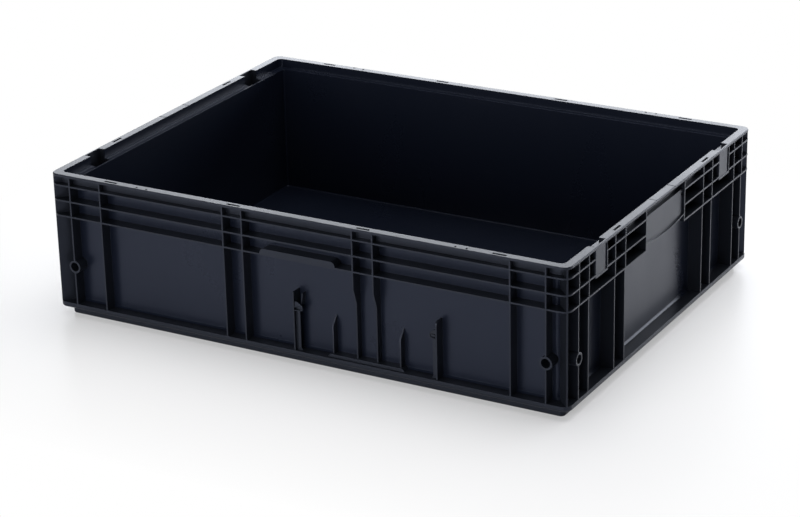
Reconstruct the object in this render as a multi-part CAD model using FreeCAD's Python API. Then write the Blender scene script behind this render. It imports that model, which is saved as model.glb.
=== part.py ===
import FreeCAD, Part
import math
import os

from FreeCAD import Vector

# A stackable tote box of the 800 by 600 format in conductive black plastic, moulded in one
# piece. The walls are smooth inside and ribbed outside, and the foot nests in the rim below.
# The origin is the middle of the underside, X runs along the long sides, the label side
# faces -Y and Z points up. All sizes are in millimetres.

# Overall size, over the edges of the outer ribs
LENGTH = 800.0
WIDTH = 600.0
HEIGHT = 213.0
CORNER_RADIUS = 12.5

# Walls, ribs and rim
WALL = 2.7
RIB = 2.4
RIM_WIDTH = 12.5
RIM_THICKNESS = 3.5
RIM_CHAMFER = 0.8
RIM_INNER_RADIUS = 7.0
INNER_CORNER_RADIUS = 3.0
LEDGE_DROP = 13.4
LEDGE_STEP = 1.4
SHORT_LEDGE_STEP = 0.8
SHORT_LEDGE_SHELF = 3.8
RIB_PITCH = 22.6
LOWER_RIB_SETBACK = 1.0

# Foot, shoulder band and floor
FOOT_CLEARANCE = 0.3
FOOT_HEIGHT = 13.0
FOOT_CHAMFER = 1.5
BAND_HEIGHT = 7.8
BAND_ROUND = 3.0
LONG_CHANNEL = 2.5
SHORT_CHANNEL = 5.5
WALL_BEAD = 2.5
WALL_BEAD_SLOPE = 2.45
FLOOR_THICKNESS = 2.8
FLOOR_ROUND = 2.0
UNDER_RIB_HEIGHT = 1.7
UNDER_RIB_PITCH = 95.0

# Upright ribs: distances from the ends of a side, and from its middle
LONG_END_RIBS = (32.5, 83.2)
LONG_MIDDLE_RIBS = (85.5, 116.0)
SHORT_END_RIBS = (31.5, 60.4)
SHORT_INNER_RIBS = (139.5, 171.0)

# Tubes that a gripper's pins enter
TUBE_HEIGHT = 77.3
TUBE_BORE_RADIUS = 6.5
TUBE_WALL = 2.8

# Grip in the middle of each long side
GRIP_LENGTH = 117.0
GRIP_RISE = 7.5
GRIP_CORNER_RADIUS = 7.0

# Handle plate in the middle of each short side
HANDLE_WIDTH = 127.2
HANDLE_SETBACK = 3.0
HANDLE_LIFT = 8.8
HANDLE_SAG = 5.7
HANDLE_BEAD_HEIGHT = 2.2
HANDLE_BEAD_PROUD = 2.6
HANDLE_NOTCH_RADIUS = 2.4
HANDLE_NOTCH_REACH = 5.5
HANDLE_NOTCH_DROP = 5.5

# Hinge pockets that take a lid, two on each short side
POCKET_FROM_END = 97.5
POCKET_SLOT = 33.0
POCKET_SIDE = 2.5
POCKET_FACE = 3.0
POCKET_FACE_SETBACK = 0.8
POCKET_BEAD_HEIGHT = 3.0
POCKET_DROP = 3.2
POCKET_CHAMFER = 3.0
POCKET_GROOVE_START = 12.0
POCKET_GROOVE_WIDTH = 4.2
POCKET_GROOVE_DEPTH = 1.8

# Label holder on the label side: a guide post at each end, two fins and a raised step
LABEL_CENTRE = 99.6
POST_SPREAD = 108.7
POST_SETBACK = 1.7
LEFT_POST_RISE = 84.6
RIGHT_POST_RISE = 83.0
RIGHT_POST_ROUND = 5.5
LIP_SETBACK = 4.6
LIP_WIDTH = 6.4
LIP_THICKNESS = 1.6
LIP_FLARE = 2.0
LIP_FLARE_RISE = 4.0
HOOK_RISE = 57.3
HOOK_HEIGHT = 6.5
HOOK_REACH = 10.8
HOOK_TIP_SETBACK = 3.8
HOOK_PLATE = 1.4
GUSSET_SETBACK = 1.8
GUSSET_FLAT = 3.5
GUSSET_RISE = 6.6
GUIDE_REACH = 6.9
GUIDE_LEAN = 2.4
GUIDE_THICKNESS = 1.8
GUIDE_DEPTH = 9.0
GUIDE_RISE = 81.7
FIN_SPREAD = 51.4
FIN_SETBACK = 7.5
FIN_RISE = 44.2
FIN_TAPER = 13.5
STEP_SPREAD = 59.0
STEP_SETBACK = 4.5
STEP_HEIGHT = 4.0
CUTBACK_RISE = 83.2
CUTBACK_SLOPE = 22.0

# Slots, pin holes and grooves in the rim
SLOT_LENGTH = 20.0
SLOT_WIDTH = 3.5
SLOT_FROM_EDGE = 5.75
LONG_SLOT_FROM_MIDDLE = 100.0
LONG_SLOT_FROM_END = 100.0
SHORT_SLOT_FROM_END = 155.25
PIN_HOLE_RADIUS = 1.6
PIN_HOLE_FROM_EDGE = 4.3
PIN_HOLES_FROM_LEFT = (143.8, 160.0)
PIN_HOLES_FROM_RIGHT = (146.5, 162.9)
GROOVE_FROM_MIDDLE = 30.5
GROOVE_WIDTH = 1.0
GROOVE_DEPTH = 0.8

# Overlap that one form is run into the next, overrun of a cutting tool, how near two places
# count as the same, and the turn of the corner ribs
BITE = 0.9
OVERRUN = 5.0
SAME = 0.001
CORNER_RIB_ANGLE = 45.0

# Places worked out from the sizes above
half_length = LENGTH / 2
half_width = WIDTH / 2
foot_inset = RIM_WIDTH + FOOT_CLEARANCE
foot_radius = RIM_INNER_RADIUS + FOOT_CLEARANCE
skirt_inset = foot_inset + WALL
long_depth = skirt_inset + LONG_CHANNEL
short_depth = skirt_inset + SHORT_CHANNEL
wall_radius = INNER_CORNER_RADIUS + WALL
upper_wall_depth = RIM_WIDTH - WALL
rim_underside = HEIGHT - RIM_THICKNESS
ledge_top = HEIGHT - LEDGE_DROP
first_rib = ledge_top - LEDGE_STEP - RIB / 2
rib_heights = [first_rib - index * RIB_PITCH for index in range(3)]
floor_top = UNDER_RIB_HEIGHT + FLOOR_THICKNESS
band_top = FOOT_HEIGHT + BAND_HEIGHT
channel_top = band_top - WALL


def block(x_low, x_high, y_low, y_high, z_low, z_high):
    """A box between two corners."""
    corner = Vector(x_low, y_low, z_low)
    return Part.makeBox(x_high - x_low, y_high - y_low, z_high - z_low, corner)


def long_block(x_low, x_high, depth_low, depth_high, z_low, z_high):
    """A box on the label side, at depths measured inwards from the outer plane."""
    return block(x_low, x_high, depth_low - half_width, depth_high - half_width, z_low, z_high)


def short_block(y_low, y_high, depth_low, depth_high, z_low, z_high):
    """A box on the +X side, at depths measured inwards from the outer plane."""
    return block(half_length - depth_high, half_length - depth_low, y_low, y_high, z_low, z_high)


def outline(points):
    """A flat face with straight sides."""
    corners = [Vector(*point) for point in points]
    return Part.Face(Part.makePolygon(corners + corners[:1]))


def rib_from_side(x_centre, thickness, points):
    """An upright rib on the label side from its outline in depth and height."""
    x_low = x_centre - thickness / 2
    face = outline([(x_low, depth - half_width, height) for depth, height in points])
    return face.extrude(Vector(thickness, 0, 0))


def plate_from_front(points, depth_low, depth_high):
    """A plate that faces the label side from its outline in X and height."""
    face = outline([(x, depth_low - half_width, height) for x, height in points])
    return face.extrude(Vector(0, depth_high - depth_low, 0))


def slab(x_inset, y_inset, radius, z_low, z_high):
    """The box's rectangle, drawn in by an inset on each side, with round corners."""
    x_side = half_length - x_inset
    y_side = half_width - y_inset
    x_line = x_side - radius
    y_line = y_side - radius
    diagonal = radius * math.sqrt(0.5)
    edges = []
    corners = [(1, 1), (-1, 1), (-1, -1), (1, -1)]
    for index, (x_sign, y_sign) in enumerate(corners):
        along_x = Vector(x_sign * x_line, y_sign * y_side, z_low)
        along_y = Vector(x_sign * x_side, y_sign * y_line, z_low)
        middle = Vector(x_sign * (x_line + diagonal), y_sign * (y_line + diagonal), z_low)
        start, end = (along_y, along_x) if index % 2 == 0 else (along_x, along_y)
        edges.append(Part.Arc(start, middle, end).toShape())
    sides = []
    for index, edge in enumerate(edges):
        following = edges[(index + 1) % len(edges)]
        sides.append(Part.makeLine(edge.Vertexes[-1].Point, following.Vertexes[0].Point))
    ordered = [piece for pair in zip(edges, sides) for piece in pair]
    return Part.Face(Part.Wire(ordered)).extrude(Vector(0, 0, z_high - z_low))


def edges_at(shape, height):
    """The edges of a slab that lie flat at one height."""
    found = []
    for edge in shape.Edges:
        box = edge.BoundBox
        if abs(box.ZMin - height) < SAME and abs(box.ZMax - height) < SAME:
            found.append(edge)
    return found


def mirrored(shapes, normal):
    """The shapes with their copies on the opposite side."""
    return shapes + [shape.mirror(Vector(0, 0, 0), normal) for shape in shapes]


def on_both_long_sides(shapes):
    return mirrored(shapes, Vector(0, 1, 0))


def on_both_short_sides(shapes):
    return mirrored(shapes, Vector(1, 0, 0))


def spread(half_span, pitch):
    """Evenly spaced places about the middle, with about the given pitch."""
    steps = max(1, round(half_span / pitch))
    return [half_span * index / steps for index in range(-steps, steps + 1)]


def long_rib_places():
    """Where the upright ribs of a long side stand."""
    from_middle = [half_length - distance for distance in LONG_END_RIBS] + list(LONG_MIDDLE_RIBS)
    return [side * x for x in from_middle for side in (-1, 1)]


def short_rib_places():
    """Where the upright ribs of a short side stand."""
    from_middle = [half_width - distance for distance in SHORT_END_RIBS + SHORT_INNER_RIBS]
    return [side * y for y in from_middle for side in (-1, 1)]


def shell_blank():
    """The stack of round-cornered slabs that the tub, rim, ledge, ribs and foot are cut from."""
    rim = slab(0, 0, CORNER_RADIUS, rim_underside, HEIGHT)
    rim = rim.makeChamfer(RIM_CHAMFER, edges_at(rim, HEIGHT))
    upper_radius = RIM_INNER_RADIUS + WALL
    upper_wall = slab(upper_wall_depth, upper_wall_depth, upper_radius, ledge_top - WALL, HEIGHT - RIM_CHAMFER)
    wall = slab(short_depth, long_depth, wall_radius, 0, ledge_top)
    bead = slab(short_depth - WALL_BEAD, long_depth - WALL_BEAD, wall_radius + WALL_BEAD, 0, band_top + WALL_BEAD)
    bead = bead.makeChamfer(WALL_BEAD_SLOPE, edges_at(bead, band_top + WALL_BEAD))
    bead = bead.cut(slab(-OVERRUN, -OVERRUN, CORNER_RADIUS, -OVERRUN, channel_top))
    band = slab(0, 0, CORNER_RADIUS, FOOT_HEIGHT, band_top)
    band = band.makeFillet(BAND_ROUND, edges_at(band, FOOT_HEIGHT))
    foot = slab(foot_inset, foot_inset, foot_radius, 0, band_top - BITE)
    foot = foot.makeChamfer(FOOT_CHAMFER, edges_at(foot, 0))
    rings = [slab(0, 0, CORNER_RADIUS, height - RIB / 2, height + RIB / 2) for height in rib_heights]
    return rim.fuse([upper_wall, wall, bead, band, foot] + rings)


def tub_cavity():
    """The space inside: a wide mouth down to the stacking ledge, and the tub below it."""
    mouth = slab(RIM_WIDTH, RIM_WIDTH, RIM_INNER_RADIUS, ledge_top, HEIGHT + OVERRUN)
    tub = slab(short_depth + WALL, long_depth + WALL, INNER_CORNER_RADIUS, floor_top, ledge_top + OVERRUN)
    tub = tub.makeFillet(FLOOR_ROUND, edges_at(tub, floor_top))
    shelf = RIM_WIDTH + SHORT_LEDGE_SHELF
    reach = half_width - long_depth - WALL
    step = short_block(-reach, reach, shelf, short_depth + WALL + OVERRUN, ledge_top - SHORT_LEDGE_STEP, HEIGHT)
    return [mouth, tub] + on_both_short_sides([step])


def underside_hollows():
    """Hollows open from below: two channels round the foot and the field under the floor."""
    outer = slab(WALL, WALL, CORNER_RADIUS - WALL, FOOT_HEIGHT - OVERRUN, channel_top)
    outer = outer.cut(slab(foot_inset, foot_inset, foot_radius, -OVERRUN, HEIGHT))
    inner = slab(skirt_inset, skirt_inset, foot_radius - WALL, -OVERRUN, channel_top)
    inner = inner.cut(slab(short_depth, long_depth, wall_radius, -2 * OVERRUN, HEIGHT))
    webs = []
    for x in long_rib_places():
        webs.append(long_block(x - RIB / 2, x + RIB / 2, 0, long_depth + BITE, 0, channel_top + BITE))
    webs = on_both_long_sides(webs)
    short_webs = []
    for y in short_rib_places():
        short_webs.append(short_block(y - RIB / 2, y + RIB / 2, 0, short_depth + BITE, 0, channel_top + BITE))
    webs = webs + on_both_short_sides(short_webs)
    channels = [outer.cut(webs), inner.cut(webs)]
    field = slab(short_depth + WALL, long_depth + WALL, INNER_CORNER_RADIUS, -OVERRUN, UNDER_RIB_HEIGHT)
    x_reach = half_length - short_depth - WALL
    y_reach = half_width - long_depth - WALL
    lattice = []
    for x in spread(x_reach, UNDER_RIB_PITCH)[1:-1]:
        lattice.append(block(x - RIB / 2, x + RIB / 2, -half_width, half_width, 0, floor_top))
    for y in spread(y_reach, UNDER_RIB_PITCH)[1:-1]:
        lattice.append(block(-half_length, half_length, y - RIB / 2, y + RIB / 2, 0, floor_top))
    return channels + [field.cut(lattice)]


def long_side_ribs():
    """Upright ribs of a long side, from the shoulder band up to the rim."""
    return [
        long_block(x - RIB / 2, x + RIB / 2, 0, long_depth + BITE, band_top - BITE, rim_underside + BITE)
        for x in long_rib_places()]


def short_side_ribs():
    """Upright ribs of a short side, set back a little below the lowest ring."""
    ribs = []
    for y in short_rib_places():
        low, high = y - RIB / 2, y + RIB / 2
        ribs.append(short_block(low, high, 0, short_depth + BITE, rib_heights[2], rim_underside + BITE))
        ribs.append(short_block(low, high, LOWER_RIB_SETBACK, short_depth + BITE, band_top - BITE, rib_heights[2]))
    return ribs


def corner_ribs():
    """One diagonal rib at each rounded corner."""
    reach = short_depth + BITE
    envelope = slab(0, 0, CORNER_RADIUS, band_top - BITE, rim_underside + BITE)
    rib = block(-reach, reach, -RIB / 2, RIB / 2, band_top - BITE, rim_underside + BITE)
    rib.rotate(Vector(0, 0, 0), Vector(0, 0, 1), CORNER_RIB_ANGLE)
    rib.translate(Vector(half_length - CORNER_RADIUS, half_width - CORNER_RADIUS, 0))
    rib = rib.common(envelope)
    return on_both_short_sides(on_both_long_sides([rib]))


def side_cylinder(place, radius, depth_low, depth_high, on_long_side):
    """A level cylinder that runs in from the outer plane of a long or a short side."""
    length = depth_high - depth_low
    if on_long_side:
        base = Vector(place, depth_low - half_width, TUBE_HEIGHT)
        return Part.makeCylinder(radius, length, base, Vector(0, 1, 0))
    base = Vector(half_length - depth_low, place, TUBE_HEIGHT)
    return Part.makeCylinder(radius, length, base, Vector(-1, 0, 0))


def gripper_tubes(radius, start, overlap):
    """Round tubes, or their bores, on the outermost ribs of all four sides."""
    x = half_length - LONG_END_RIBS[0]
    y = half_width - SHORT_END_RIBS[0]
    long_ones = [side_cylinder(place, radius, start, long_depth + overlap, True) for place in (-x, x)]
    short_ones = [side_cylinder(place, radius, start, short_depth + overlap, False) for place in (-y, y)]
    return on_both_long_sides(long_ones) + on_both_short_sides(short_ones)


def arch(half_span, low, high, radius):
    """An upright outline with round upper corners, in X and height."""
    offset = radius * (1 - math.sqrt(0.5))
    left_low = Vector(-half_span, 0, low)
    left_high = Vector(-half_span, 0, high - radius)
    left_corner = Vector(offset - half_span, 0, high - offset)
    top_left = Vector(radius - half_span, 0, high)
    top_right = Vector(half_span - radius, 0, high)
    right_corner = Vector(half_span - offset, 0, high - offset)
    right_high = Vector(half_span, 0, high - radius)
    right_low = Vector(half_span, 0, low)
    edges = [
        Part.makeLine(left_low, left_high),
        Part.Arc(left_high, left_corner, top_left).toShape(),
        Part.makeLine(top_left, top_right),
        Part.Arc(top_right, right_corner, right_high).toShape(),
        Part.makeLine(right_high, right_low),
        Part.makeLine(right_low, left_low),
    ]
    return Part.Face(Part.Wire(edges))


def long_side_grip():
    """A hooded grip: the lowest ring lifts over a finger space that is open from below."""
    low = rib_heights[2] - RIB / 2
    high = rib_heights[2] + RIB / 2 + GRIP_RISE
    half_span = GRIP_LENGTH / 2
    hood = arch(half_span, low, high, GRIP_CORNER_RADIUS)
    hood.translate(Vector(0, -half_width, 0))
    hood = hood.extrude(Vector(0, long_depth + BITE, 0))
    space = arch(half_span - RIB, low - OVERRUN, high - RIB, GRIP_CORNER_RADIUS - RIB)
    space.translate(Vector(0, RIB - half_width, 0))
    space = space.extrude(Vector(0, long_depth - RIB, 0))
    return hood, space


def handle_outline(high, depth):
    """The handle's face in Y and height, sagging in an arc below: straight on top, or a strip."""
    x = half_length - depth
    half_span = HANDLE_WIDTH / 2
    end = rib_heights[2] + HANDLE_LIFT
    left_low = Vector(x, -half_span, end)
    right_low = Vector(x, half_span, end)
    lowest = Vector(x, 0, end - HANDLE_SAG)
    if high is None:
        shift = Vector(0, 0, HANDLE_BEAD_HEIGHT)
        top = Part.Arc(right_low + shift, lowest + shift, left_low + shift).toShape()
        left_high, right_high = left_low + shift, right_low + shift
    else:
        left_high = Vector(x, -half_span, high)
        right_high = Vector(x, half_span, high)
        top = Part.makeLine(right_high, left_high)
    edges = [
        Part.Arc(left_low, lowest, right_low).toShape(),
        Part.makeLine(right_low, right_high),
        top,
        Part.makeLine(left_high, left_low),
    ]
    return Part.Face(Part.Wire(edges))


def short_side_handle():
    """A plate that hangs from the top ring, with a bead along its sagging lower edge."""
    top = rib_heights[0] + RIB / 2
    plate = handle_outline(top, HANDLE_SETBACK).extrude(Vector(-RIB, 0, 0))
    notch_height = rib_heights[0] - HANDLE_NOTCH_DROP
    round_place = HANDLE_WIDTH / 2 - RIB / 2 - HANDLE_NOTCH_REACH + HANDLE_NOTCH_RADIUS
    for side in (-1, 1):
        centre = Vector(half_length, side * round_place, notch_height)
        round_end = Part.makeCylinder(HANDLE_NOTCH_RADIUS, short_depth, centre, Vector(-1, 0, 0))
        ends = sorted([side * round_place, side * HANDLE_WIDTH / 2])
        slot = short_block(
            ends[0], ends[1], 0, short_depth,
            notch_height - HANDLE_NOTCH_RADIUS, notch_height + HANDLE_NOTCH_RADIUS)
        plate = plate.cut([round_end, slot])
    bead_depth = HANDLE_SETBACK - HANDLE_BEAD_PROUD
    bead = handle_outline(None, bead_depth).extrude(Vector(-RIB - HANDLE_BEAD_PROUD, 0, 0))
    pieces = [plate, bead]
    for side in (-1, 1):
        y = side * HANDLE_WIDTH / 2
        pieces.append(short_block(
            y - RIB / 2, y + RIB / 2, 0, short_depth + BITE, rib_heights[2] - RIB / 2, rim_underside + BITE))
    return pieces


def handle_clearance():
    """What goes from the rings at a handle: the lower two, and the front of the top one."""
    half_span = HANDLE_WIDTH / 2
    behind = short_block(
        -half_span, half_span, -OVERRUN, short_depth, rib_heights[2] - RIB, rib_heights[0] - RIB / 2)
    front = short_block(-half_span, half_span, -OVERRUN, HANDLE_SETBACK, rib_heights[0] - RIB, rib_heights[0] + RIB)
    return on_both_short_sides([behind, front])


def pocket_floor():
    return rib_heights[1] - RIB / 2 - POCKET_DROP


def hinge_pockets():
    """Blocks on the short sides that the lid's hinge pockets are cut in."""
    blocks = []
    half_span = POCKET_SLOT / 2 + POCKET_SIDE
    low = pocket_floor()
    for side in (-1, 1):
        y = side * (half_width - POCKET_FROM_END)
        housing = short_block(y - half_span, y + half_span, 0, short_depth + BITE, low, rim_underside + BITE)
        upright = [
            edge for edge in housing.Edges
            if edge.BoundBox.ZLength > POCKET_SLOT and edge.BoundBox.XMin > half_length - BITE]
        housing = housing.makeChamfer(POCKET_FACE_SETBACK, POCKET_CHAMFER, upright)
        blocks.append(housing)
    return on_both_short_sides(blocks)


def pocket_slots():
    """The slots, open at the rim, and the sunk faces before them, with a groove along one side."""
    cuts = []
    half_span = POCKET_SLOT / 2
    low = pocket_floor()
    face_half = half_span + POCKET_SIDE - POCKET_CHAMFER
    for side in (-1, 1):
        y = side * (half_width - POCKET_FROM_END)
        cuts.append(short_block(
            y - half_span, y + half_span, POCKET_FACE, short_depth, low + POCKET_SIDE, HEIGHT + OVERRUN))
        cuts.append(short_block(
            y - face_half, y + face_half, -OVERRUN, POCKET_FACE_SETBACK,
            low + POCKET_BEAD_HEIGHT, rim_underside))
        groove = y + POCKET_GROOVE_START
        cuts.append(short_block(
            groove, groove + POCKET_GROOVE_WIDTH, -OVERRUN, POCKET_GROOVE_DEPTH,
            low + POCKET_BEAD_HEIGHT, rim_underside))
    return on_both_short_sides(cuts)


def label_post(side):
    """A guide post with a return lip that a label slides behind; the right one has a round top."""
    x = LABEL_CENTRE + side * POST_SPREAD
    rear = long_depth + BITE
    low = band_top - BITE
    top = band_top + (LEFT_POST_RISE if side < 0 else RIGHT_POST_RISE)
    post = rib_from_side(x, RIB, [(POST_SETBACK, low), (rear, low), (rear, top), (POST_SETBACK, top)])
    if side > 0:
        front = POST_SETBACK - half_width + SAME
        corner = [edge for edge in edges_at(post, top) if edge.BoundBox.YMax < front]
        post = post.makeFillet(RIGHT_POST_ROUND, corner)
    root = x
    reach = x - side * (RIB / 2 + LIP_WIDTH)
    flare = reach - side * LIP_FLARE
    lip_depth = POST_SETBACK + LIP_SETBACK
    lip = plate_from_front(
        [(root, low), (flare, low), (flare, band_top), (reach, band_top + LIP_FLARE_RISE),
         (reach, band_top + HOOK_RISE + HOOK_PLATE / 2), (root, band_top + HOOK_RISE + HOOK_PLATE / 2)],
        lip_depth, lip_depth + LIP_THICKNESS)
    return [post, lip] + label_hook(x, side)


def label_hook(x, side):
    """The hollow tapered hook on top of a post's lip, and the slanting gusset above it."""
    inward = -side
    root = x + inward * RIB / 4
    face = root + inward * RIB / 4
    tip = face + inward * HOOK_REACH
    low = band_top + HOOK_RISE
    high = low + HOOK_HEIGHT
    rear = POST_SETBACK + LIP_SETBACK + LIP_THICKNESS
    tip_depth = POST_SETBACK + HOOK_TIP_SETBACK
    plan = outline([
        (root, POST_SETBACK - half_width, low), (tip, tip_depth - half_width, low),
        (tip, rear - half_width, low), (root, rear - half_width, low)])
    hook = plan.extrude(Vector(0, 0, HOOK_HEIGHT))
    inside = sorted([face, tip - inward * HOOK_PLATE])
    hollow = long_block(
        inside[0], inside[1], -OVERRUN, rear - LIP_THICKNESS, low + HOOK_PLATE, high - HOOK_PLATE)
    gusset_depth = POST_SETBACK + GUSSET_SETBACK
    slope = (tip_depth - gusset_depth) / HOOK_REACH
    bend_depth = gusset_depth + GUSSET_FLAT * slope
    bend = face + inward * GUSSET_FLAT
    root_depth = gusset_depth - slope * RIB / 4
    foot = high - HOOK_PLATE / 2
    peak = high + GUSSET_RISE
    gusset = outline([
        (root, root_depth - half_width, foot), (tip, tip_depth - half_width, foot),
        (tip, tip_depth - half_width, high), (bend, bend_depth - half_width, peak),
        (root, root_depth - half_width, peak)])
    return [hook.cut(hollow), gusset.extrude(Vector(0, HOOK_PLATE, 0))]


def label_guide():
    """The leaning fin beside the left post that leads a label in."""
    start = LABEL_CENTRE - POST_SPREAD + GUIDE_REACH
    low = band_top + HOOK_RISE + HOOK_HEIGHT
    high = band_top + GUIDE_RISE
    return plate_from_front(
        [(start, low), (start + GUIDE_THICKNESS, low),
         (start + GUIDE_LEAN + GUIDE_THICKNESS, high), (start + GUIDE_LEAN, high)],
        long_depth - GUIDE_DEPTH, long_depth + BITE)


def label_fins():
    """Two low fins that keep a label off the wall."""
    fins = []
    rear = long_depth + BITE
    low = band_top - BITE
    straight_top = band_top + FIN_RISE
    for side in (-1, 1):
        fins.append(rib_from_side(LABEL_CENTRE + side * FIN_SPREAD, RIB, [
            (FIN_SETBACK, low), (rear, low), (rear, straight_top + FIN_TAPER),
            (long_depth, straight_top + FIN_TAPER), (FIN_SETBACK, straight_top)]))
    return fins


def label_step():
    """The raised step on the shoulder band that a label stands on, with sloping ends."""
    low = band_top - BITE
    high = band_top + STEP_HEIGHT
    left = LABEL_CENTRE - STEP_SPREAD
    right = LABEL_CENTRE + STEP_SPREAD
    return plate_from_front(
        [(left, low), (right, low), (right, band_top), (right - STEP_HEIGHT, high),
         (left + STEP_HEIGHT, high), (left, band_top)],
        STEP_SETBACK, long_depth + BITE)


def label_cutbacks():
    """Behind a label the two middle ribs are cut back to the depth of the fins."""
    cuts = []
    straight_top = band_top + CUTBACK_RISE
    for x in LONG_MIDDLE_RIBS:
        cuts.append(rib_from_side(x, RIB * 2, [
            (-OVERRUN, band_top), (FIN_SETBACK, band_top), (FIN_SETBACK, straight_top),
            (0, straight_top + CUTBACK_SLOPE), (-OVERRUN, straight_top + CUTBACK_SLOPE)]))
    return cuts


def rim_slot(x, y, along_x):
    """A narrow slot through the rim."""
    x_half, y_half = (SLOT_LENGTH / 2, SLOT_WIDTH / 2) if along_x else (SLOT_WIDTH / 2, SLOT_LENGTH / 2)
    return block(x - x_half, x + x_half, y - y_half, y + y_half, rim_underside - BITE, HEIGHT + OVERRUN)


def rim_cuts():
    """Slots, pin holes and fine grooves in the rim."""
    cuts = []
    y_edge = half_width - SLOT_FROM_EDGE
    for x in (LONG_SLOT_FROM_MIDDLE, half_length - LONG_SLOT_FROM_END):
        cuts.extend(rim_slot(place, -y_edge, True) for place in (-x, x))
    y_holes = half_width - PIN_HOLE_FROM_EDGE
    left_places = [distance - half_length for distance in PIN_HOLES_FROM_LEFT]
    right_places = [half_length - distance for distance in PIN_HOLES_FROM_RIGHT]
    for x in left_places + right_places:
        base = Vector(x, -y_holes, rim_underside - BITE)
        cuts.append(Part.makeCylinder(PIN_HOLE_RADIUS, RIM_THICKNESS + BITE + OVERRUN, base))
    cuts = on_both_long_sides(cuts)
    x_edge = half_length - SLOT_FROM_EDGE
    y = half_width - SHORT_SLOT_FROM_END
    short_cuts = [rim_slot(x_edge, place, False) for place in (-y, y)]
    for place in (-GROOVE_FROM_MIDDLE, GROOVE_FROM_MIDDLE):
        short_cuts.append(short_block(
            place - GROOVE_WIDTH / 2, place + GROOVE_WIDTH / 2, -OVERRUN, RIM_WIDTH + OVERRUN,
            HEIGHT - GROOVE_DEPTH, HEIGHT + OVERRUN))
    return cuts + on_both_short_sides(short_cuts)


def tote_box():
    """The whole box as one moulded solid."""
    hood, space = long_side_grip()
    grips = on_both_long_sides([hood])
    spaces = on_both_long_sides([space])
    handles = on_both_short_sides(short_side_handle())
    ribs = on_both_long_sides(long_side_ribs()) + on_both_short_sides(short_side_ribs()) + corner_ribs()
    tubes = gripper_tubes(TUBE_BORE_RADIUS + TUBE_WALL, 0, BITE)
    bores = gripper_tubes(TUBE_BORE_RADIUS, -OVERRUN, 0)

    body = shell_blank().cut(handle_clearance())
    body = body.fuse(ribs + tubes + grips + handles + hinge_pockets())
    body = body.cut(spaces + pocket_slots() + bores + label_cutbacks())
    label_holder = label_post(-1) + label_post(1) + label_fins() + [label_guide(), label_step()]
    body = body.fuse(label_holder)
    body = body.cut(tub_cavity() + underside_hollows() + rim_cuts())
    return body.removeSplitter()


os.makedirs("parts", exist_ok=True)
box = tote_box()
box.Solids[0].exportStep("parts/tote_box.step")
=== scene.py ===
"""Studio scene of the esd tote box: one moulding of black conductive plastic, 800 x 600 x 213 mm."""

import math

import bpy
from mathutils import Matrix, Vector


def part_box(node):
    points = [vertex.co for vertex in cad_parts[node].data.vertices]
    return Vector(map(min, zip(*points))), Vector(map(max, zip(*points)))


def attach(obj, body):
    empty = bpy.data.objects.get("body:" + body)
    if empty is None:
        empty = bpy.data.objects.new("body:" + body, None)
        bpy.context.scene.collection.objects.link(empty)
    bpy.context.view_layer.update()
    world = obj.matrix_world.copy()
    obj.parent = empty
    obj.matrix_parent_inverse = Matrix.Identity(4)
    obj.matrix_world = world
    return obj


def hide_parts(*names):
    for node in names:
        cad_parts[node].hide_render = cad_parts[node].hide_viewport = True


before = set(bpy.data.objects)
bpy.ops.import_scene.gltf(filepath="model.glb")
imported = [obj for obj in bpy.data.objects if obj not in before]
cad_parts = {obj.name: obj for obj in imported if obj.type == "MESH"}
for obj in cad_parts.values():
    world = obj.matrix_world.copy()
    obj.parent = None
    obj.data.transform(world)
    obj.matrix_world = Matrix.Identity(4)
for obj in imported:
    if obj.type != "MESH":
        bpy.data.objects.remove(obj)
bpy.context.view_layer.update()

MM = 0.001

# Camera, as fitted to the edges of the photographed box.
CAMERA_PLACE = (1.6826, -2.9681, 1.4229)
CAMERA_YAW = 2.0899
CAMERA_PITCH = 0.3832
CAMERA_ROLL = -0.023
SENSOR_WIDTH = 36
LENS = 115.28

# The moulding's edges.
MERGE_DISTANCE = 0.02 * MM
FLAT_ANGLE = math.radians(0.4)
EDGE_ROUND = 0.35 * MM
EDGE_STEPS = 2
EDGE_ANGLE = math.radians(38)
SMOOTH_ANGLE = math.radians(35)

# Levels of the box that decide which finish a face has, and which faces take the tub's painted shade.
BOX_LOW, BOX_HIGH = (Vector(corner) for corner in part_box("tote_box"))
HALF_LENGTH, HALF_WIDTH, BOX_TOP = BOX_HIGH
RIM_LEVEL = BOX_TOP - 1.2 * MM
UNDERSIDE_LEVEL = 1.6 * MM
LEDGE_LEVEL = BOX_TOP - 14.5 * MM
RIM_REACH = 11.9 * MM
TUB_HALF_LENGTH = HALF_LENGTH - 18 * MM
TUB_HALF_WIDTH = HALF_WIDTH - 15 * MM
TUB_FLOOR_LEVEL = 4.1 * MM


def clear_selection():
    """Leaves nothing selected, as the operators act on all that is."""
    bpy.ops.object.select_all(action="DESELECT")


def pick(piece):
    """Makes one piece the only selected and active one."""
    clear_selection()
    piece.select_set(True)
    bpy.context.view_layer.objects.active = piece


# Sizes of the surface effects, in cycles to the metre, and how strongly they show.
GRAIN_SCALE = 1800.0
WAVE_SCALE = 9.0
CLOUD_SCALE = 6.0
CLOUD_DRAW = (1.0, 1.0, 0.35)
CLOUD_EDGES = (0.32, 0.68)
SPECK_SCALE = 420.0
SPECK_SHARE = 0.25
SCRATCH_SCALE = 60.0
SCRATCH_DRAWS = ((0.12, 1.0, 1.0), (1.0, 0.12, 1.0))
SCRATCH_TURN = (0.0, 0.0, math.radians(11))
SCRATCH_EDGES = (0.60, 0.72)
PATCH_SCALE = 14.0
PATCH_EDGES = (0.42, 0.66)
WEAR_ROUGHNESS = 0.25
CLOUD_SHADE = (0.82, 0.84, 0.86, 1.0)
GRAIN_BUMP = 0.012 * MM


# Node groups: effects that the finishes of the box share.

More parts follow.
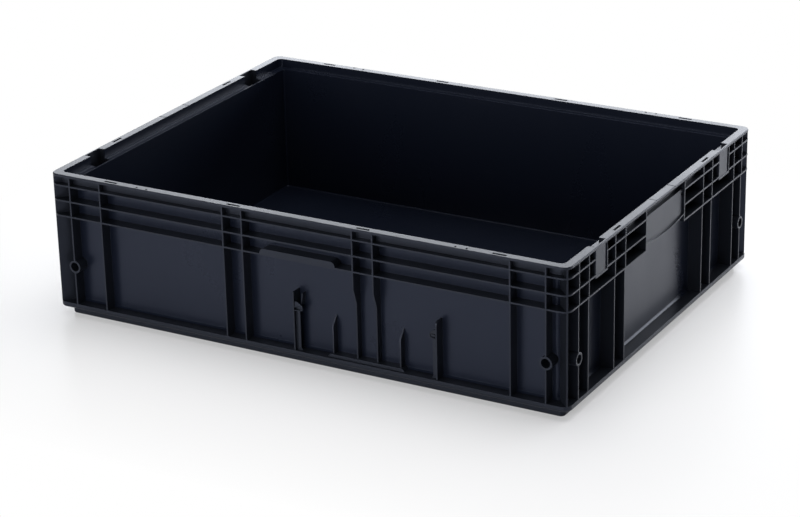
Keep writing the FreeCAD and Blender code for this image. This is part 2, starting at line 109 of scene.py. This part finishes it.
def new_group(name, inputs, outputs):
    """An empty shader group with float inputs and outputs, and its input and output nodes."""
    group = bpy.data.node_groups.new(name, "ShaderNodeTree")
    for label, kind, value in inputs:
        socket = group.interface.new_socket(label, in_out="INPUT", socket_type=kind)
        if value is not None:
            socket.default_value = value
    for label, kind in outputs:
        group.interface.new_socket(label, in_out="OUTPUT", socket_type=kind)
    start = group.nodes.new("NodeGroupInput")
    end = group.nodes.new("NodeGroupOutput")
    return group, start, end


def noise(tree, vector, scale, detail=2.0, rough=0.5, distortion=0.0):
    """A noise texture on a vector, giving its plain value."""
    node = tree.nodes.new("ShaderNodeTexNoise")
    tree.links.new(vector, node.inputs["Vector"])
    if isinstance(scale, (int, float)):
        node.inputs["Scale"].default_value = scale
    else:
        tree.links.new(scale, node.inputs["Scale"])
    node.inputs["Detail"].default_value = detail
    node.inputs["Roughness"].default_value = rough
    node.inputs["Distortion"].default_value = distortion
    return node.outputs["Fac"]


def math_value(tree, kind, first, second=0.0):
    """A Math node of a kind on two values, which are sockets or numbers."""
    node = tree.nodes.new("ShaderNodeMath")
    node.operation = kind
    for place, value in enumerate((first, second)):
        if isinstance(value, (int, float)):
            node.inputs[place].default_value = value
        else:
            tree.links.new(value, node.inputs[place])
    return node.outputs[0]


def spread_range(tree, value, low, high, new_low, new_high):
    """A clamped map of a value from one range to another."""
    node = tree.nodes.new("ShaderNodeMapRange")
    tree.links.new(value, node.inputs["Value"])
    pairs = (("From Min", low), ("From Max", high), ("To Min", new_low), ("To Max", new_high))
    for label, number in pairs:
        if isinstance(number, (int, float)):
            node.inputs[label].default_value = number
        else:
            tree.links.new(number, node.inputs[label])
    return node.outputs["Result"]


def spark_grain_group():
    """The fine pits of the mould's spark-eroded steel, and the slow waves of a large thin wall."""
    inputs = [
        ("Vector", "NodeSocketVector", None),
        ("Grain Scale", "NodeSocketFloat", GRAIN_SCALE),
        ("Grain Depth", "NodeSocketFloat", 1.0),
        ("Wave Scale", "NodeSocketFloat", WAVE_SCALE),
        ("Wave Depth", "NodeSocketFloat", 1.0),
    ]
    group, start, end = new_group("spark_grain", inputs, [("Height", "NodeSocketFloat")])
    place = start.outputs["Vector"]
    pits = noise(group, place, start.outputs["Grain Scale"], detail=3.0, rough=0.62)
    waves = noise(group, place, start.outputs["Wave Scale"], detail=1.5, rough=0.4)
    pits = math_value(group, "MULTIPLY", pits, start.outputs["Grain Depth"])
    waves = math_value(group, "MULTIPLY", waves, start.outputs["Wave Depth"])
    height = math_value(group, "ADD", pits, waves)
    group.links.new(height, end.inputs["Height"])
    return group


def flow_marks_group():
    """Faint clouds where the filled plastic flowed, which show as a little more or less gloss."""
    inputs = [
        ("Vector", "NodeSocketVector", None),
        ("Scale", "NodeSocketFloat", CLOUD_SCALE),
        ("Low", "NodeSocketFloat", 0.2),
        ("High", "NodeSocketFloat", 0.3),
    ]
    outputs = [("Value", "NodeSocketFloat"), ("Mask", "NodeSocketFloat")]
    group, start, end = new_group("flow_marks", inputs, outputs)
    drawn = group.nodes.new("ShaderNodeMapping")
    drawn.inputs["Scale"].default_value = CLOUD_DRAW
    group.links.new(start.outputs["Vector"], drawn.inputs["Vector"])
    clouds = noise(group, drawn.outputs["Vector"], start.outputs["Scale"], 4.0, 0.55, 0.6)
    specks = noise(group, start.outputs["Vector"], SPECK_SCALE, 2.0, 0.5)
    mask = spread_range(group, clouds, *CLOUD_EDGES, 0.0, 1.0)
    speckled = math_value(group, "MULTIPLY", math_value(group, "SUBTRACT", specks, 0.5), SPECK_SHARE)
    both = math_value(group, "ADD", mask, speckled)
    value = spread_range(group, both, 0.0, 1.0, start.outputs["Low"], start.outputs["High"])
    group.links.new(value, end.inputs["Value"])
    group.links.new(mask, end.inputs["Mask"])
    return group


def scuffs_group():
    """Short fine scratches in two directions and a little dust, as stacking leaves on an edge."""
    inputs = [
        ("Vector", "NodeSocketVector", None),
        ("Scale", "NodeSocketFloat", SCRATCH_SCALE),
        ("Amount", "NodeSocketFloat", 0.3),
    ]
    group, start, end = new_group("stacking_scuffs", inputs, [("Mask", "NodeSocketFloat")])
    masks = []
    for stretch in SCRATCH_DRAWS:
        drawn = group.nodes.new("ShaderNodeMapping")
        drawn.inputs["Scale"].default_value = stretch
        drawn.inputs["Rotation"].default_value = SCRATCH_TURN
        group.links.new(start.outputs["Vector"], drawn.inputs["Vector"])
        lines = noise(group, drawn.outputs["Vector"], start.outputs["Scale"], 5.0, 0.7, 0.2)
        masks.append(spread_range(group, lines, *SCRATCH_EDGES, 0.0, 1.0))
    both = math_value(group, "MAXIMUM", masks[0], masks[1])
    patches = noise(group, start.outputs["Vector"], PATCH_SCALE, 2.0, 0.5)
    where = spread_range(group, patches, *PATCH_EDGES, 0.0, 1.0)
    held = math_value(group, "MULTIPLY", both, where)
    mask = math_value(group, "MULTIPLY", held, start.outputs["Amount"])
    group.links.new(mask, end.inputs["Mask"])
    return group


SPARK_GRAIN = spark_grain_group()
FLOW_MARKS = flow_marks_group()
SCUFFS = scuffs_group()


def use_group(tree, group, vector, **values):
    """Places a group in a material, with its own values."""
    node = tree.nodes.new("ShaderNodeGroup")
    node.node_tree = group
    tree.links.new(vector, node.inputs["Vector"])
    for label, number in values.items():
        node.inputs[label.replace("_", " ")].default_value = number
    return node


def conductive_plastic(name, colour, gloss, grain, wave, scuffs):
    """Black plastic filled with carbon: its tone, the range of its roughness, its grain and wear."""
    material = bpy.data.materials.new(name)
    material.use_nodes = True
    tree = material.node_tree
    shader = tree.nodes["Principled BSDF"]
    place = tree.nodes.new("ShaderNodeTexCoord").outputs["Object"]
    flow = use_group(tree, FLOW_MARKS, place, Scale=CLOUD_SCALE, Low=gloss[0], High=gloss[1])
    wear = use_group(tree, SCUFFS, place, Scale=SCRATCH_SCALE, Amount=scuffs)
    skin = use_group(
        tree, SPARK_GRAIN, place,
        Grain_Scale=GRAIN_SCALE, Grain_Depth=grain, Wave_Scale=WAVE_SCALE, Wave_Depth=wave,
    )
    tone = tree.nodes.new("ShaderNodeMix")
    tone.data_type = "RGBA"
    tone.inputs[6].default_value = (*colour, 1.0)
    tone.inputs[7].default_value = (*WORN_BLACK, 1.0)
    tree.links.new(wear.outputs["Mask"], tone.inputs[0])
    cloudy = tree.nodes.new("ShaderNodeMix")
    cloudy.data_type = "RGBA"
    cloudy.blend_type = "MULTIPLY"
    cloudy.inputs[7].default_value = CLOUD_SHADE
    tree.links.new(flow.outputs["Mask"], cloudy.inputs[0])
    tree.links.new(tone.outputs[2], cloudy.inputs[6])
    tree.links.new(cloudy.outputs[2], shader.inputs["Base Color"])
    dulled = math_value(tree, "MULTIPLY", wear.outputs["Mask"], WEAR_ROUGHNESS)
    rough = math_value(tree, "ADD", flow.outputs["Value"], dulled)
    tree.links.new(rough, shader.inputs["Roughness"])
    relief = tree.nodes.new("ShaderNodeBump")
    relief.inputs["Strength"].default_value = 1.0
    relief.inputs["Distance"].default_value = GRAIN_BUMP
    tree.links.new(skin.outputs["Height"], relief.inputs["Height"])
    tree.links.new(relief.outputs["Normal"], shader.inputs["Normal"])
    shader.inputs["IOR"].default_value = PLASTIC_IOR
    shader.inputs["Specular Tint"].default_value = COOL_SHEEN
    return material


# The finishes, one of them with painted shade inside the tub. The sheen of the filled plastic is weak and
# cool where it is seen straight on.
PLASTIC_IOR = 1.5
COOL_SHEEN = (0.42, 0.47, 0.63, 1.0)
BLACK = (0.0112, 0.0128, 0.0172)
# The tub's inside is darker than the outside of the same plastic: painted shade of the tub's hollow.
TUB_BLACK_PAINTED_SHADE = (0.0064, 0.0086, 0.0165)
WORN_BLACK = (0.028, 0.031, 0.039)
OUTER_WALL = conductive_plastic(
    "outer_wall_satin", BLACK, gloss=(0.30, 0.37), grain=0.30, wave=6.0, scuffs=0.06)
# The tub's material has the darker colour, which is painted shade inside the tub, and its own smoother
# gloss.
TUB_WALL_PAINTED_SHADE = conductive_plastic(
    "tub_smooth_painted_shade", TUB_BLACK_PAINTED_SHADE, gloss=(0.26, 0.34), grain=0.25, wave=6.0, scuffs=0.08)
RIM_AND_FOOT = conductive_plastic(
    "rim_and_foot_rubbed", BLACK, gloss=(0.26, 0.34), grain=0.4, wave=2.0, scuffs=0.40)
FINISHES = [OUTER_WALL, TUB_WALL_PAINTED_SHADE, RIM_AND_FOOT]


def finish_of(face):
    """Which of the finishes a face of the tote has, by its place and the way it looks; faces inside the
    tub take the one with painted shade.
    """
    x, y, z = face.center
    if z > RIM_LEVEL or z < UNDERSIDE_LEVEL:
        return FINISHES.index(RIM_AND_FOOT)
    inside = abs(x) < TUB_HALF_LENGTH and abs(y) < TUB_HALF_WIDTH
    if z > LEDGE_LEVEL:
        inside = abs(x) < HALF_LENGTH - RIM_REACH and abs(y) < HALF_WIDTH - RIM_REACH
    if inside and z > TUB_FLOOR_LEVEL:
        return FINISHES.index(TUB_WALL_PAINTED_SHADE)
    return FINISHES.index(OUTER_WALL)


def hold_in_box(piece):
    """Brings back the corners of the edge rounds that stand out of the CAD box by a hair."""
    for point in piece.data.vertices:
        for axis in range(3):
            point.co[axis] = min(max(point.co[axis], BOX_LOW[axis]), BOX_HIGH[axis])


def moulded_tote():
    """A merged copy of the CAD moulding with the small rounds that a mould gives to every edge."""
    pick(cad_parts["tote_box"])
    bpy.ops.object.duplicate()
    tote = bpy.context.active_object
    tote.name = "moulded_tote"
    tote.data.name = "moulded_tote"
    pick(tote)
    bpy.ops.mesh.customdata_custom_splitnormals_clear()
    bpy.ops.object.mode_set(mode="EDIT")
    bpy.ops.mesh.select_all(action="SELECT")
    bpy.ops.mesh.remove_doubles(threshold=MERGE_DISTANCE)
    bpy.ops.mesh.dissolve_limited(angle_limit=FLAT_ANGLE)
    bpy.ops.object.mode_set(mode="OBJECT")
    bpy.ops.object.shade_smooth()
    bpy.ops.object.modifier_add(type="BEVEL")
    rounds = tote.modifiers[-1]
    rounds.width = EDGE_ROUND
    rounds.segments = EDGE_STEPS
    rounds.limit_method = "ANGLE"
    rounds.angle_limit = EDGE_ANGLE
    rounds.use_clamp_overlap = False
    rounds.miter_outer = "MITER_SHARP"
    bpy.ops.object.modifier_apply(modifier=rounds.name)
    hold_in_box(tote)
    bpy.ops.object.shade_smooth_by_angle(angle=SMOOTH_ANGLE)
    bpy.ops.object.modifier_add(type="WEIGHTED_NORMAL")
    bpy.ops.object.modifier_apply(modifier=tote.modifiers[-1].name)
    tote.data.materials.clear()
    for finish in FINISHES:
        tote.data.materials.append(finish)
    for face in tote.data.polygons:
        face.material_index = finish_of(face)
    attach(tote, "root")
    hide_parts("tote_box")
    print("tote faces", len(tote.data.polygons))
    return tote


TOTE = moulded_tote()

# The studio: floor, white room, softboxes and camera.

FLOOR_HALF = 7.0
FLOOR_DROP = 0.3 * MM
FLOOR_COLOUR = (0.93, 0.93, 0.955, 1.0)
FLOOR_GLOSS = 0.36
FLOOR_IOR = 1.45
GLOW_NEAR = 0.37
GLOW_REACH = 0.36
ROOM_COLOUR = (0.95, 0.97, 1.0, 1.0)
ROOM_LIGHT = 0.08
COOL_LAMP = (0.92, 0.95, 1.0)
WHITE_LAMP = (1.0, 1.0, 1.0)


def seen_rays(tree):
    """One for the rays that the camera sees, and nought for those that light or mirror things."""
    path = tree.nodes.new("ShaderNodeLightPath")
    return math_value(tree, "MAXIMUM", path.outputs["Is Camera Ray"], path.outputs["Is Transmission Ray"])


def glow_by_distance(tree):
    """The share of plain white in the floor, which grows with the distance from the box's sides."""
    place = tree.nodes.new("ShaderNodeTexCoord").outputs["Object"]
    split = tree.nodes.new("ShaderNodeSeparateXYZ")
    tree.links.new(place, split.inputs[0])
    squares = []
    for label, half in (("X", HALF_LENGTH), ("Y", HALF_WIDTH)):
        outward = math_value(tree, "SUBTRACT", math_value(tree, "ABSOLUTE", split.outputs[label]), half)
        outward = math_value(tree, "MAXIMUM", outward, 0.0)
        squares.append(math_value(tree, "MULTIPLY", outward, outward))
    distance = math_value(tree, "SQRT", math_value(tree, "ADD", squares[0], squares[1]))
    return spread_range(tree, distance, 0.0, GLOW_REACH, GLOW_NEAR, 1.0)


def white_floor():
    """A pale glossy floor that keeps the soft shadow and a faint image of the box."""
    clear_selection()
    bpy.ops.mesh.primitive_plane_add(size=2 * FLOOR_HALF, location=(0, 0, -FLOOR_DROP))
    floor = bpy.context.active_object
    floor.name = "studio_floor"
    material = bpy.data.materials.new("studio_floor_white")
    material.use_nodes = True
    tree = material.node_tree
    shader = tree.nodes["Principled BSDF"]
    shader.inputs["Base Color"].default_value = FLOOR_COLOUR
    shader.inputs["Roughness"].default_value = FLOOR_GLOSS
    shader.inputs["IOR"].default_value = FLOOR_IOR
    glow = tree.nodes.new("ShaderNodeEmission")
    glow.inputs["Strength"].default_value = 1.0
    both = tree.nodes.new("ShaderNodeMixShader")
    tree.links.new(math_value(tree, "MULTIPLY", seen_rays(tree), glow_by_distance(tree)), both.inputs[0])
    tree.links.new(shader.outputs[0], both.inputs[1])
    tree.links.new(glow.outputs[0], both.inputs[2])
    tree.links.new(both.outputs[0], tree.nodes["Material Output"].inputs["Surface"])
    floor.data.materials.append(material)
    return floor


def white_room():
    """A world that the camera sees as white, and that lights the box only a little."""
    world = bpy.data.worlds.new("white_room")
    bpy.context.scene.world = world
    world.use_nodes = True
    tree = world.node_tree
    background = tree.nodes["Background"]
    background.inputs["Color"].default_value = ROOM_COLOUR
    strength = spread_range(tree, seen_rays(tree), 0.0, 1.0, ROOM_LIGHT, 1.0)
    tree.links.new(strength, background.inputs["Strength"])


def softbox(name, place, target, width, height, radiance, colour):
    """A rectangular lamp that faces a point and is as bright as its radiance says."""
    bpy.ops.object.light_add(type="AREA", location=place)
    lamp = bpy.context.active_object
    lamp.name = name
    lamp.data.shape = "RECTANGLE"
    lamp.data.size = width
    lamp.data.size_y = height
    lamp.data.energy = radiance * math.pi * width * height
    lamp.data.color = colour
    aim = Vector(target) - Vector(place)
    lamp.rotation_mode = "QUATERNION"
    lamp.rotation_quaternion = aim.to_track_quat("-Z", "Y")
    lamp.visible_camera = False
    return lamp


def photo_camera():
    """The camera at the photograph's viewing angle."""
    bpy.ops.object.camera_add()
    camera = bpy.context.active_object
    camera.name = "photo_camera"
    camera.data.sensor_width = SENSOR_WIDTH
    camera.data.lens = LENS
    level = math.cos(CAMERA_PITCH)
    forward = Vector((
        math.cos(CAMERA_YAW) * level,
        math.sin(CAMERA_YAW) * level,
        -math.sin(CAMERA_PITCH),
    ))
    right = Vector((math.sin(CAMERA_YAW), -math.cos(CAMERA_YAW), 0.0))
    up = right.cross(forward)
    turned_right = right * math.cos(CAMERA_ROLL) + up * math.sin(CAMERA_ROLL)
    turned_up = up * math.cos(CAMERA_ROLL) - right * math.sin(CAMERA_ROLL)
    turn = Matrix((turned_right, turned_up, -forward)).transposed()
    camera.matrix_world = Matrix.Translation(CAMERA_PLACE) @ turn.to_4x4()
    bpy.context.scene.camera = camera
    return camera


white_floor()
white_room()
softbox(
    "top_softbox", place=(0.25, 0.35, 3.0), target=(0, 0, 0.1),
    width=3.0, height=3.0, radiance=2.6, colour=WHITE_LAMP)
softbox(
    "front_softbox", place=(-0.5, -3.4, 0.75), target=(0.1, 0, 0.1),
    width=4.0, height=1.3, radiance=4.9, colour=WHITE_LAMP)
softbox(
    "back_softbox", place=(-0.2, 3.6, 1.08), target=(0, 0, 0.2),
    width=7.0, height=1.6, radiance=4.7, colour=COOL_LAMP)
softbox(
    "right_softbox", place=(3.0, 2.6, 0.5), target=(0.3, 0, 0.1),
    width=2.6, height=0.9, radiance=3.0, colour=COOL_LAMP)
photo_camera()

scene = bpy.context.scene
scene.view_settings.view_transform = "Standard"
